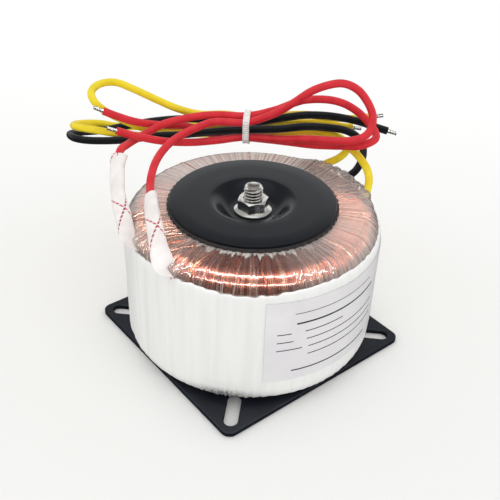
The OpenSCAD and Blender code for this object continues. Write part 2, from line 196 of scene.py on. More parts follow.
class Finish(Nodes):
    """A Principled material, with short calls for the textures that drive it."""

    def __init__(self, name, color, roughness, metallic=0.0, **sockets):
        self.material = bpy.data.materials.new(name)
        self.material.use_nodes = True
        super().__init__(self.material.node_tree)
        self.shader = self.nodes["Principled BSDF"]
        sockets.update(Base_Color=rgba(color), Roughness=roughness, Metallic=metallic)
        for socket, value in sockets.items():
            self.shader.inputs[socket.replace("_", " ")].default_value = value

    def drive(self, socket, source):
        self.links.new(source, self.shader.inputs[socket])

    def attribute(self, name):
        return self.node("Attribute", attribute_name=name).outputs["Fac"]

    def noise(self, scale, detail, stretch=(1, 1, 1)):
        mapping = self.node("Mapping", (self.node("TexCoord").outputs["Object"],))
        mapping.inputs["Scale"].default_value = stretch
        return self.node("TexNoise", {"Vector": mapping.outputs["Vector"], "Scale": scale,
                                      "Detail": detail}).outputs["Fac"]

    def mottle(self, scale, detail, *stops, stretch=(1, 1, 1)):
        """A base colour that a noise picks from a ramp. It is returned, for what lies over it."""
        color = self.ramp(self.noise(scale, detail, stretch), stops)
        self.drive("Base Color", color)
        return color

    def scuff(self, scale, detail, low_end, high_end, stretch=(1, 1, 1)):
        """A roughness that a noise moves between two values."""
        self.drive("Roughness", self.spread(self.noise(scale, detail, stretch), low_end, high_end))

    def bump(self, height, strength, depth):
        made = self.node("Bump", {"Height": height, "Strength": strength, "Distance": depth})
        self.drive("Normal", made.outputs["Normal"])


# ---- Mesh building ----

def mesh_piece(name, points, faces, finish, node=None, sharp=35):
    """A mesh object that rides on the part, faces outward, and stands for a CAD node if one is named."""
    mesh = bpy.data.meshes.new(name)
    mesh.from_pydata([tuple(p) for p in points], [], [tuple(f) for f in faces])
    mesh.validate()
    shell = bmesh.new()
    shell.from_mesh(mesh)
    if shell.calc_volume(signed=True) < 0:
        mesh.flip_normals()
    shell.free()
    piece = placed(name, mesh)
    mesh.materials.append(finish.material)
    mesh.polygons.foreach_set("use_smooth", [True] * len(mesh.polygons))
    mesh.set_sharp_from_angle(angle=radians(sharp))
    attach(piece, BODY)
    if node:
        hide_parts(node)
    return piece


def grid_faces(rows, columns, first=0, closed_rows=False):
    """Quads of rows of points. Each row is closed; the last one joins the first if closed_rows."""
    faces = []
    for i in range(rows if closed_rows else rows - 1):
        near, far = first + i * columns, first + (i + 1) % rows * columns
        faces += [(near + j, near + (j + 1) % columns, far + (j + 1) % columns, far + j) for j in range(columns)]
    return faces


def tube_faces(rows, sides, first=0):
    """Faces of a tube of point rings, with a flat cap at each end."""
    last = first + (rows - 1) * sides
    caps = [tuple(range(first, first + sides))[::-1], tuple(range(last, last + sides))]
    return grid_faces(rows, sides, first) + caps


def paint(piece, name, values):
    """Store one number for each point, for the material to read."""
    piece.data.attributes.new(name, "FLOAT", "POINT").data.foreach_set("value", values)


def clamped(value):
    return max(0.0, min(1.0, value))


def swell(degrees, middle, width):
    """A bump of height 1 round one direction, in degrees."""
    return np.exp(-(((degrees - middle + 180) % 360 - 180) / width) ** 2)


def tilt(a, middle, width):
    """The same bump at one angle in radians."""
    return float(swell(math.degrees(a), middle, width))


def smooth_path(route, steps):
    """Catmull-Rom curve through the points of a route."""
    pts = [2 * route[0] - route[1], *route, 2 * route[-1] - route[-2]]
    path = []
    for p0, p1, p2, p3 in zip(pts, pts[1:], pts[2:], pts[3:]):
        for k in range(steps):
            t = k / steps
            path.append(0.5 * (2 * p1 + t * (p2 - p0) + t * t * (2 * p0 - 5 * p1 + 4 * p2 - p3)
                               + t ** 3 * (3 * p1 - p0 - 3 * p2 + p3)))
    return path + [route[-1]]


def poly_line(data, points, closed=False):
    """Add a line through points to a curve."""
    spline = data.splines.new("POLY")
    spline.points.add(len(points) - 1)
    for point, place in zip(spline.points, points):
        point.co = (*place, 1)
    spline.use_cyclic_u = closed
    return spline


def ring(centre, u, v, half_u, half_v, sides, start=0.0):
    """Points of an ellipse round a centre."""
    turns = [2 * pi * k / sides + start for k in range(sides)]
    return [centre + half_u * cos(b) * u + half_v * sin(b) * v for b in turns]


def lathe(profile, segments, closed=True, radius_at=None):
    """Points and faces of a profile of (r, z) turned about Z."""
    points = []
    for i, (r, z) in enumerate(profile):
        for j in range(segments):
            a = 2 * pi * j / segments
            rr = radius_at(i, a, r, z) if radius_at else r
            points.append((rr * cos(a), rr * sin(a), z))
    return points, grid_faces(len(profile), segments, closed_rows=closed)


def rings(profile, z=0.0):
    """A profile in metres from pairs in mm: radius and height over z."""
    return [(r * MM, z + h * MM) for r, h in profile]


def heading(path, i):
    """Direction of a path at one of its points."""
    return (path[min(i + 1, len(path) - 1)] - path[max(i - 1, 0)]).normalized()


def wave(seed, lowest, highest, count=24):
    """A smooth random function of an angle, between about -1 and 1."""
    draw = random.Random(seed)
    terms = [(draw.randint(lowest, highest), draw.uniform(0, 2 * pi)) for _ in range(count)]

    def value(a):
        return sum(sin(k * a + p) for k, p in terms) / math.sqrt(count / 2) / 1.6
    return value


def ripple(seed, lowest, highest, angles):
    """A wave at each of many angles."""
    height = wave(seed, lowest, highest)
    return np.array([height(a) for a in angles])


# ---- Leads and sleeves ----

SLEEVE_A = [(-50, -34.5, 70.5), (-56, -21, 73.5), (-61.5, -8, 76), (-66, 8, 81), (-67.5, 20, 85)]
SLEEVE_B = [(-31, -51.5, 71.5), (-34, -46, 74.5), (-39, -32.5, 77), (-44, -17, 77), (-48, -1.5, 77.5)]
RED_A = SLEEVE_A + [
    (-66, 28.5, 84.5), (-63, 38.5, 83.5), (-57.5, 45, 85), (-51, 48, 88), (-38, 49, 92),
    (-25, 49, 94.5), (-9, 49.5, 95), (4.5, 50, 99), (14, 51.5, 103), (20, 53, 104.5), (29.5, 54, 105),
    (38, 54.5, 103.5), (45.5, 55, 99.5), (51, 53, 95.5), (55, 48.5, 92.5), (55.5, 43.5, 91), (52, 39.5, 90),
    (47, 38.5, 88.5), (40, 41.5, 86.5), (32.5, 45.5, 84), (24, 48, 82.5), (8.5, 49.5, 82.5), (-9, 49.5, 83),
    (-20.5, 49.5, 82.5), (-31, 51, 83.5), (-41.5, 53, 85), (-55, 52, 85), (-65, 46, 88.5), (-73, 42, 92.5),
    (-80.5, 40, 96)]
RED_B = SLEEVE_B + [
    (-49.5, 7, 79.5), (-49.5, 18, 82), (-47, 28, 84.5), (-42, 36, 87), (-33.5, 42, 90), (-24.5, 45, 92.5),
    (-9, 46, 93), (4.5, 45.5, 99), (14, 45, 106), (22.5, 44.5, 113), (31.5, 44.5, 117), (38, 45, 117.5),
    (44.5, 45.5, 114.5), (49.5, 45, 109), (52.5, 43, 103.5), (52.5, 39.5, 98.5), (49.5, 36.5, 95),
    (43.5, 36, 92.5), (35.5, 38.5, 90.5), (21.5, 43, 88), (8.5, 45.5, 85.5), (-9, 46, 85),
    (-24, 44.5, 82.5), (-37, 42, 81.5), (-49.5, 38, 83), (-61.5, 32, 87.5), (-71, 28.5, 91.5)]
BLACK = [
    (44.5, 39.5, 71), (48, 41.5, 74), (50.5, 46, 78.5), (50, 51, 83), (46, 53.5, 87),
    (39.5, 51.5, 90.5), (30, 48.5, 92.5), (20, 46.5, 93), (8.5, 46, 91), (-9, 46, 89), (-20, 46, 87.5),
    (-31, 46, 85.5), (-43, 46.5, 83), (-54.5, 47.5, 81), (-72.5, 45.5, 78), (-88, 42, 78),
    (-97.5, 43, 78), (-103, 51, 76), (-100.5, 60, 73), (-92.5, 64, 72.5), (-84, 62, 75.5),
    (-76, 60.5, 78.5), (-60.5, 58.5, 83.5), (-46, 56.5, 87), (-32.5, 54.5, 89), (-21, 52, 90.5),
    (-9, 49.5, 91), (8, 51, 94.5), (20.5, 51.5, 97), (33.5, 53.5, 96.5), (46.5, 56.5, 93.5),
    (56, 57.5, 90.5), (62, 57.5, 89)]
YELLOW_B = [
    (53.5, 26, 71), (54, 30, 75), (52.5, 35, 78.5), (48.5, 42, 81), (43.5, 49.5, 82),
    (37, 53.5, 85), (30, 52.5, 88), (20.5, 50.5, 89), (8, 50, 88.5), (-9, 49.5, 87), (-20, 53, 86),
    (-31.5, 56.5, 83), (-42.5, 57.5, 81), (-53, 56.5, 80.5), (-63.5, 53, 82), (-71.5, 49.5, 86.5),
    (-79.5, 44, 93.5), (-85.5, 45, 97.5), (-89, 49.5, 100), (-89.5, 55.5, 101), (-86, 60.5, 102),
    (-79, 62.5, 102), (-70, 62.5, 99), (-59, 61.5, 95), (-47, 60.5, 91), (-34.5, 59, 89.5), (-21.5, 56, 92),
    (-9, 53.5, 92.5), (7.5, 55.5, 94), (20.5, 56.5, 95), (31, 58.5, 93.5), (44.5, 61.5, 92.5),
    (54.5, 61.5, 94.5)]
YELLOW_A = [
    (32.5, 49, 72), (38.5, 52, 74), (42.5, 57, 76), (42.5, 63, 77.5), (38, 67, 79),
    (31.5, 66.5, 81), (25, 62.5, 82.5), (18, 58.5, 83.5), (8, 55, 84), (-9, 53.5, 84.5),
    (-21.5, 56.5, 81.5), (-32.5, 60, 78), (-43.5, 61.5, 76.5), (-54, 59.5, 76), (-66, 54, 77),
    (-77.5, 47.5, 80.5), (-88, 44.5, 83), (-97, 47, 82.5), (-101.5, 54, 80), (-99, 62, 77.5),
    (-91.5, 67.5, 75.5), (-83.5, 68, 74.5), (-74, 67.5, 75), (-60.5, 66.5, 77), (-43.5, 65, 79),
    (-27, 61, 83.5), (-17.5, 57, 87), (-9, 53.5, 88.5), (8, 55, 89), (20.5, 58.5, 89.5),
    (30, 61.5, 88.5), (38, 63, 87), (44.5, 63.5, 86.5)]


def metres(route):
    return [Vector(p) * MM for p in route]


def lead_finish(name, code, dark):
    """Soft PVC with a slight orange peel and a little grime in it."""
    finish = Finish(name, code, 0.34, Specular_IOR_Level=0.32)
    finish.mottle(160, 3, (0.3, dark), (0.62, code))
    finish.scuff(900, 2, 0.28, 0.46)
    finish.bump(finish.noise(2600, 2), 0.12, 0.05 * MM)
    return finish


def tinned_finish():
    finish = Finish("tinned", (0.74, 0.73, 0.70), 0.3, 1.0)
    finish.mottle(1800, 2, (0.35, (0.34, 0.32, 0.29)), (0.65, (0.86, 0.85, 0.82)))
    finish.scuff(3000, 2, 0.2, 0.5)
    return finish


# a lead in a sleeve starts this far along its route; the others start at a point inside the body
HIDDEN_ROOT = 14 * MM
ROOTS = {"lead_black": (41, 37.5, 68), "lead_yellow_a": (28, 46.5, 69.5), "lead_yellow_b": (52, 22.5, 67.5)}


def add_lead(name, route, finish, others=()):
    """A free lead: a curve of one open spline that lies where its solid lies."""
    path = smooth_path(metres(route), 5)
    if others:
        path = trimmed(path, HIDDEN_ROOT, 0)
    else:
        path = [Vector(ROOTS[name]) * MM] + path
    data = bpy.data.curves.new(name, "CURVE")
    data.dimensions = "3D"
    data.bevel_depth = LEAD_D / 2
    data.bevel_resolution = 5
    data.use_fill_caps = True
    poly_line(data, path).use_smooth = True
    piece = placed(name, data)
    piece.visible_glossy = False
    data.materials.append(finish.material)
    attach(piece, BODY)
    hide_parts(name)


TIP_L = 5.5 * MM
TIP_D = 2 * MM
TIP_TURNS = 1.4


def add_tip(name, route, finish, seed):
    """Seven twisted strands that carry on from the end of a lead and fray a little."""
    draw = random.Random(seed)
    path = smooth_path(metres(route), 5)
    along = (path[-1] - path[-2]).normalized()
    side = along.orthogonal().normalized()
    up = along.cross(side)
    strand_r = TIP_D / 6.4
    points, faces = [], []
    steps, sides = 14, 7
    for s in range(7):
        turn = 2 * pi * s / 6
        out = 0 if s == 6 else TIP_D / 2 - strand_r
        length = TIP_L * draw.uniform(0.86, 1.0)
        first = len(points)
        for i in range(steps):
            t = i / (steps - 1)
            a = turn + TIP_TURNS * 2 * pi * t
            spread = out * (1 + 0.12 * t * t * draw.uniform(0, 1))
            centre = path[-1] + along * (length * t - 0.4 * MM) + spread * (cos(a) * side + sin(a) * up)
            points += ring(centre, side, up, strand_r, strand_r, sides)
        faces += tube_faces(steps, sides, first)
    return mesh_piece(name, points, faces, finish, name, sharp=60)


SLEEVE_W = 7.6 * MM
SLEEVE_H = 4.9 * MM
SLEEVE_WALL = 0.35 * MM
SLEEVE_SIDES = 40
TRACER_PITCH = 44 * MM
# shares of the way round, of a dash and its gap, and dashes to a mm
TRACER_HALF_W = 0.021
TRACER_DASH = 0.72
TRACER_DASHES = 0.42
# threads round the sleeve and to a mm along it
WEAVE_ROUND = 30
WEAVE_ALONG = 1.4


def sleeve_finish():
    """White woven sleeving with two dashed red tracers that wind both ways round it."""
    finish = Finish("sleeve_woven", "f0ece8", 0.55, Sheen_Weight=0.2)
    along, round_ = finish.attribute("along"), finish.attribute("round")

    def tracer(direction, offset):
        phase = finish.math("ADD", finish.math("MULTIPLY", round_, direction),
                            finish.math("MULTIPLY", along, MM / TRACER_PITCH))
        phase = finish.math("FRACT", finish.math("ADD", phase, offset))
        near = finish.math("ABSOLUTE", finish.math("SUBTRACT", phase, 0.5))
        line = finish.math("LESS_THAN", near, TRACER_HALF_W)
        dash = finish.math("FRACT", finish.math("MULTIPLY", along, TRACER_DASHES))
        return finish.math("MULTIPLY", line, finish.math("LESS_THAN", dash, TRACER_DASH))

    def weave(direction):
        turns = finish.math(direction, finish.math("MULTIPLY", round_, WEAVE_ROUND),
                            finish.math("MULTIPLY", along, WEAVE_ALONG))
        return finish.math("SINE", finish.math("MULTIPLY", turns, 2 * pi))

    base = finish.mottle(160, 3, (0.3, "ebe3df"), (0.65, "f5f0ed"))
    base = finish.mix(tracer(1, 0.1), base, "c8384a")
    finish.drive("Base Color", finish.mix(tracer(-1, 0.75), base, "a8283c"))
    finish.bump(finish.math("MULTIPLY", weave("ADD"), weave("SUBTRACT")), 0.35, 0.06 * MM)
    return finish


def measured(path):
    """Length walked along a path, at each of its points."""
    lengths = [0.0]
    for a, b in zip(path, path[1:]):
        lengths.append(lengths[-1] + (b - a).length)
    return lengths


def trimmed(path, from_start, from_end):
    """A path without its first and last stretches."""
    lengths = measured(path)
    return [p for p, at in zip(path, lengths) if from_start <= at <= lengths[-1] - from_end]


def add_sleeve(name, route, root, turns, trim, finish):
    """A flattened woven sleeve: pinched flat where it goes under the film, cut off square at its mouth."""
    path = trimmed(smooth_path(metres([root] + route), 12), 0, trim * MM)
    count = len(path)
    crease = wave(len(name) + ord(name[-1]), 1, 7, 8)
    points, along, round_ = [], [], []
    shells = [(i, 0) for i in range(count)] + [(i, SLEEVE_WALL) for i in reversed(range(count))]
    lengths = measured(path)
    for i, inset in shells:
        tangent = heading(path, i)
        side = tangent.cross(Vector((0, 0, 1))).normalized()
        up = side.cross(tangent)
        walked = lengths[i] / lengths[-1]
        a = radians(float(np.interp(walked, (0, 0.15, 0.6, 1), turns)))
        u = cos(a) * side + sin(a) * up
        v = tangent.cross(u)
        pinch = 1 - 0.05 * (1 + crease(2 * pi * walked))
        flat = clamped((lengths[i] / MM - 3) / 13)
        flat = flat * flat * (3 - 2 * flat)
        half_w = SLEEVE_W / 2 * (1.3 - 0.3 * flat) * (2 - pinch) * 0.97 - inset
        half_h = SLEEVE_H / 2 * (0.24 + 0.76 * flat) * pinch - inset
        points += ring(path[i], u, v, half_w, half_h, SLEEVE_SIDES)
        along += [lengths[i] / MM] * SLEEVE_SIDES
        round_ += [k / SLEEVE_SIDES for k in range(SLEEVE_SIDES)]
    faces = grid_faces(2 * count, SLEEVE_SIDES, closed_rows=True)
    piece = mesh_piece(name, points, faces, finish, name, sharp=60)
    paint(piece, "along", along)
    paint(piece, "round", round_)
    return piece


# ---- Cable tie ----

TIE_X = -9 * MM
TIE_W = 3.2 * MM
TIE_T = 1.1 * MM
TIE_GAP = 0.15 * MM
# the leads that the tie goes round, anticlockwise in (y, z)
TIE_CORNERS = [(46, 85), (49.5, 83), (53.5, 84.5), (53.5, 92.5), (49.5, 95), (46, 93)]
TIE_STATIONS = 220
TIE_RIBS = 40
TIE_BOX_ROUND = 0.45 * MM


def nylon_finish():
    finish = Finish("nylon", "efe9e4", 0.38, Subsurface_Weight=0.25, Subsurface_Scale=0.002)
    finish.shader.inputs["Subsurface Radius"].default_value = (1.0, 0.8, 0.7)
    finish.mottle(300, 3, (0.3, "e2d9d2"), (0.7, "f5f1ee"))
    finish.bump(finish.noise(3000, 2), 0.1, 0.03 * MM)
    return finish


def hull_walk(corners, radius, stations):
    """Even points and outward normals along the band round circles at the corners, in (y, z)."""
    walk = []
    for i in range(len(corners)):
        p0, p1, p2 = (Vector(corners[(i + k - 1) % len(corners)]) for k in range(3))
        a0, a1 = (math.atan2(-side.x, side.y) for side in (p1 - p0, p2 - p1))
        a1 += 2 * pi if a1 < a0 else 0
        for k in range(9):
            a = a0 + (a1 - a0) * k / 8
            walk.append((p1 + radius * Vector((cos(a), sin(a))), a))
    places, angles = zip(*walk, walk[0])
    lengths, angles = measured(places), np.unwrap(angles)
    angles[-1] = angles[0] + 2 * pi
    at = np.arange(stations) * lengths[-1] / stations
    ys, zs, angles = (np.interp(at, lengths, values) for values in (*zip(*places), angles))
    return [(Vector((y, z)), Vector((cos(a), sin(a)))) for y, z, a in zip(ys, zs, angles)]


def add_tie(finish):
    corners = [(y * MM, z * MM) for y, z in TIE_CORNERS]
    walk = hull_walk(corners, LEAD_D / 2 + TIE_GAP, TIE_STATIONS)
    rail, edge = TIE_W / 2, TIE_W * 0.27
    points = []
    for i, (p, n) in enumerate(walk):
        # half of the band's section: its side, its raised rail and the ribbed floor between the rails
        rib = 0.5 + 0.5 * cos(2 * pi * TIE_RIBS * i / TIE_STATIONS)
        floor = TIE_T * (0.52 + 0.34 * rib)
        half = [(rail, 0), (rail, TIE_T * 0.85), (rail * 0.86, TIE_T), (edge, TIE_T), (edge * 0.85, floor)]
        for x, h in [(-x, h) for x, h in half] + half[::-1]:
            q = p + n * h
            points.append((TIE_X + x, q.x, q.y))
    faces = grid_faces(TIE_STATIONS, len(points) // TIE_STATIONS, closed_rows=True)
    mesh_piece("cable_tie", points, faces, finish, "cable_tie", sharp=40).visible_glossy = False
    # the head, and the cut tail that stands out of it
    back = high("cable_tie").y
    head_z = 89 * MM
    for name, centre, size in (
            ("tie_head", (TIE_X, back - 1.6 * MM, head_z), (4.8, 3.2, 5)),
            ("tie_tail", (TIE_X, back - 2.6 * MM, head_z + 3.6 * MM), (2.9, 1.0, 2.4))):
        add_tie_box(name, centre, [s * MM for s in size], finish)


def add_tie_box(name, centre, size, finish):
    """A nylon box with rounded edges."""
    bm = bmesh.new()
    bmesh.ops.create_cube(bm, size=1.0)
    bmesh.ops.scale(bm, vec=size, verts=bm.verts)
    bmesh.ops.bevel(bm, geom=bm.edges[:], offset=TIE_BOX_ROUND, segments=3, profile=0.5, affect="EDGES")
    bmesh.ops.translate(bm, vec=centre, verts=bm.verts)
    points = [v.co.copy() for v in bm.verts]
    faces = [[v.index for v in f.verts] for f in bm.faces]
    bm.free()
    mesh_piece(name, points, faces, finish, sharp=50).visible_glossy = False


def add_leads():
    red = lead_finish("lead_red", "e2303b", "d4242f")
    yellow = lead_finish("lead_yellow", "f6df2c", "ecd120")
    black = lead_finish("lead_black", "15181d", "101216")
    tinned, woven = tinned_finish(), sleeve_finish()
    sleeve_a = add_sleeve("sleeve_a", SLEEVE_A, (-45.6, -37.2, 67.6), (-40, -30, 45, 5), 3, woven)
    sleeve_b = add_sleeve("sleeve_b", SLEEVE_B, (-28.8, -51.4, 67.6), (-12, 0, 30, 50), 4, woven)
    for name, route, finish, seed, others in (
            ("red_a", RED_A, red, 1, [sleeve_a]), ("red_b", RED_B, red, 2, [sleeve_b]),
            ("yellow_a", YELLOW_A, yellow, 3, []), ("yellow_b", YELLOW_B, yellow, 4, []),
            ("black", BLACK, black, 5, [])):
        tip = add_tip("tip_" + name, route, tinned, seed)
        add_lead("lead_" + name, route, finish, others)
    add_tie(nylon_finish())


add_leads()


# ---- Wound body ----

WIRES = 420
WIRE_DEPTH = 0.42 * MM
# a wire's section: how deep its points lie, beginning with the groove between two wires
WIRE_SECTION = (1, 0.12, 0, 0.12)
WIRE_ACROSS = len(WIRE_SECTION)
# painted shade: the copper's tone in the groove between two wires is darkened to this share
GROOVE_SHADE = 0.45
STRAY_WIRES = 46
STRAY_BESIDE_SLEEVES = 38
STRAY_STEPS = 16
STRAY_SIDES = 5
PAD_EDGE = 38 * MM


def arc(centre, radius, start, end, count):
    """Points (r, z) and normals along an arc, angles in degrees from +r."""
    made = []
    for k in range(count):
        a = radians(start + (end - start) * k / (count - 1))
        made.append((centre[0] + radius * cos(a), centre[1] + radius * sin(a), cos(a), sin(a)))
    return made


def body_section():
    """The closed outline of the wound body as (r, z, normal r, normal z), from the bore's top outwards."""
    s, b = SHOULDER_R, BORE_SHOULDER_R
    top = [(r * MM, BODY_Z1, 0, 1) for r in (29, 34, 38, 40.5, 43, 45.5, 47.6)]
    outer = arc((BODY_R - s, BODY_Z1 - s), s, 90, 0, 10)
    wall = [(BODY_R, z * MM, 1, 0) for z in (56, 42, 28)]
    lower = arc((BODY_R - s, BODY_Z0 + s), s, 0, -90, 6)
    bottom = [(r * MM, BODY_Z0, 0, -1) for r in (42, 33)]
    hole = arc((BORE_R + b, BODY_Z0 + b), b, -90, -180, 4) + arc((BORE_R + b, BODY_Z1 - b), b, 180, 90, 4)
    return top + outer + wall + lower + bottom + hole


def copper_finish():
    """Enamelled copper wire, seen through clear film."""
    finish = Finish("copper", (0.72, 0.30, 0.16), 0.3, 0.75, Coat_Weight=0.12, Coat_Roughness=0.12)
    # the tone attribute also carries painted shade in the grooves and painted light and shade by direction
    finish.drive("Base Color", finish.ramp(finish.attribute("tone"), [(0.0, "843424"), (0.4, "bc6a50"),
                                                                      (0.75, "d4a287"), (1.0, "f0d8c8")]))
    finish.scuff(700, 2, 0.18, 0.34)
    return finish


def add_copper(finish):
    """Every turn of the outer winding as a half-round wire, laid in loose bunches."""
    draw = random.Random(11)
    section = body_section()
    rows = len(section)
    bunch, fine = wave(3, 9, 31), wave(5, 40, 110)
    # the wires stray from their lines on the top and the shoulder only
    ease = [sin(pi * clamped((60 * MM - r) / (24 * MM)))
            if z > BODY_Z1 - SHOULDER_R - 2 * MM and r > 25 * MM else 0.0 for r, z, _, _ in section]
    points, tone = [], []
    heights = [draw.uniform(0, 0.16) * MM + (draw.random() < 0.1) * 0.22 * MM for _ in range(WIRES)]
    tones = [clamped(draw.gauss(0.45, 0.22)) for _ in range(WIRES)]
    for w in range(WIRES):
        around = 2 * pi * w / WIRES
        left = tilt(around, 212, 26)
        # painted light and shade: by direction, the tone is raised at the front and the rear right and lowered on the
        # left
        tones[w] += 0.15 * tilt(around, 266, 22) + 0.3 * tilt(around, 42, 24) - 0.14 * left
        tones[w] = clamped(tones[w] + draw.uniform(-0.35, 0.35) * left)
    tangle = [0.12 + 0.9 * tilt(2 * pi * w / WIRES, 222, 30) for w in range(WIRES)]
    for i, (r, z, nr, nz) in enumerate(section):
        for w in range(WIRES):
            base = 2 * pi * w / WIRES
            lean = radians(1.6 * tangle[w] * bunch(base) + 0.12 * fine(base + 0.02 * i)) * ease[i]
            for k in range(WIRE_ACROSS):
                a = base + lean + (k - 1.5) / WIRE_ACROSS * 2 * pi / WIRES
                inset = WIRE_DEPTH * WIRE_SECTION[k] + heights[w]
                points.append(((r - inset * nr) * cos(a), (r - inset * nr) * sin(a), z - inset * nz))
                # painted shade in the groove between two wires
                tone.append(tones[w] * (GROOVE_SHADE if k == 0 else 1))
    faces = grid_faces(rows, WIRES * WIRE_ACROSS, closed_rows=True)
    piece = mesh_piece("copper_turns", points, [f[::-1] for f in faces], finish, "secondary_winding",
                       sharp=80)
    paint(piece, "tone", tone)


def on_body(walked, a, lift):
    """A point over the body's top and shoulder: the length walked out from the pad's edge, and an angle."""
    flat = BODY_R - SHOULDER_R - PAD_EDGE
    if walked < flat:
        r, z, nr, nz = PAD_EDGE + walked, BODY_Z1, 0, 1
    else:
        t = min((walked - flat) / SHOULDER_R, pi / 2)
        r, z = BODY_R - SHOULDER_R + SHOULDER_R * sin(t), BODY_Z1 - SHOULDER_R + SHOULDER_R * cos(t)
        nr, nz = sin(t), cos(t)
        z -= max(0, walked - flat - SHOULDER_R * pi / 2)
    return Vector(((r + lift * nr) * cos(a), (r + lift * nr) * sin(a), z + lift * nz))


def add_stray_wires(finish):
    """Loose turns that cross the others, most of them beside the sleeves."""
    draw = random.Random(23)
    points, faces, tone = [], [], []
    for n in range(STRAY_WIRES):
        beside = n < STRAY_BESIDE_SLEEVES
        start = radians(draw.gauss(222, 14) if beside else draw.uniform(0, 360))
        turn = radians(draw.gauss(0, 5 if beside else 1.2))
        bow = radians(draw.gauss(0, 2))
        begin, end = draw.uniform(0, 5) * MM, draw.uniform(20, 27) * MM
        radius = draw.uniform(0.26, 0.36) * MM
        value = min(1, max(0.1, draw.gauss(0.6, 0.25)))
        path = [on_body(begin + (end - begin) * t, start + turn * t + bow * sin(pi * t),
                        -0.1 * MM + 0.22 * MM * sin(pi * t)) for t in np.linspace(0, 1, STRAY_STEPS)]
        first = len(points)
        for i in range(STRAY_STEPS):
            along = heading(path, i)
            out = (path[i] - Vector((0, 0, 40 * MM))).normalized()
            side = along.cross(out).normalized()
            points += ring(path[i], side, side.cross(along), radius, radius, STRAY_SIDES, pi / 2)
            tone += [value] * STRAY_SIDES
        faces += tube_faces(STRAY_STEPS, STRAY_SIDES, first)
    piece = mesh_piece("stray_turns", points, faces, finish, sharp=80)
    paint(piece, "tone", tone)


FILM_COLUMNS = 1440
FILM_ROWS = 30
FILM_START = -3 * MM
FILM_END = 26.5 * MM
FILM_FOLDS = 130
FOLDS_ANYWHERE = 90
# where the film stands off: direction, width, distance from the pad's edge, reach, height, milkiness
BULGES = [(216, 6, 21, 4, 1.8, 0.45), (240, 6, 21, 4, 1.8, 0.45), (228, 9, 21, 4, 0.6, 0.3), (26, 8, 20, 6, 2.6, 0.2),
          (42, 8, 18, 6, 3.0, 0.2), (57, 9, 17, 6, 2.4, 0.3)]


def film_finish():
    """Clear polyester film: glossy, clear where it is taut and milky where it is doubled; at the rear right its milky
    veil is also painted light.
    """
    finish = Finish("clear_film", "f4ebe4", 0.35)
    haze_and_light = finish.math("MULTIPLY", finish.attribute("haze_and_light"), finish.spread(finish.noise(420, 3), 0.75, 1.2),
                       clamp=True)
    clear = finish.node("BsdfTransparent", {"Color": (0.97, 0.96, 0.95)})
    gloss = finish.node("BsdfGlossy", {"Roughness": 0.1})
    fresnel = finish.node("Fresnel", {"IOR": 1.55})
    veil = finish.blend(haze_and_light, clear.outputs["BSDF"], finish.shader.outputs["BSDF"])
    shine = finish.blend(fresnel.outputs["Fac"], veil, gloss.outputs["BSDF"])
    finish.links.new(shine, finish.nodes["Material Output"].inputs["Surface"])
    return finish


# milkiness of the film round the body, by direction in degrees; at the rear right, from 24 to 58 degrees, it is
# raised as painted light
HAZE_AND_LIGHT = [(0, 0.4), (14, 0.34), (24, 0.3), (58, 0.32), (72, 0.75), (100, 0.92), (140, 0.88), (165, 0.66),
        (190, 0.54), (208, 0.42), (224, 0.26), (248, 0.12), (262, 0.04), (288, 0.05), (300, 0.18), (322, 0.36),
        (345, 0.44), (360, 0.36)]
TEETH = wave(31, 24, 60)
TEETH_FINE = wave(32, 80, 150)
STREAKS = wave(33, 60, 220, 40)


def film_haze_and_light(a, walk):
    """How milky the film is: a torn-looking hem beside the washer, the back and the right side; at the rear right it
    is partly painted light.
    """
    base = float(np.interp(math.degrees(a) % 360, *zip(*HAZE_AND_LIGHT)))
    teeth = 4.2 + 1.6 * TEETH(a) + 0.9 * TEETH_FINE(a)
    inner = 0.7 * clamped((teeth - walk / MM) / 0.8) * (0.15 + tilt(a, 272, 38) + 0.4 * tilt(a, 335, 38))
    streak = 0.5 + 0.5 * STREAKS(a + 0.02 * walk / MM / 20)
    return min(0.95, max(base * (0.7 + 0.5 * streak), inner * (0.8 + 0.3 * streak)))


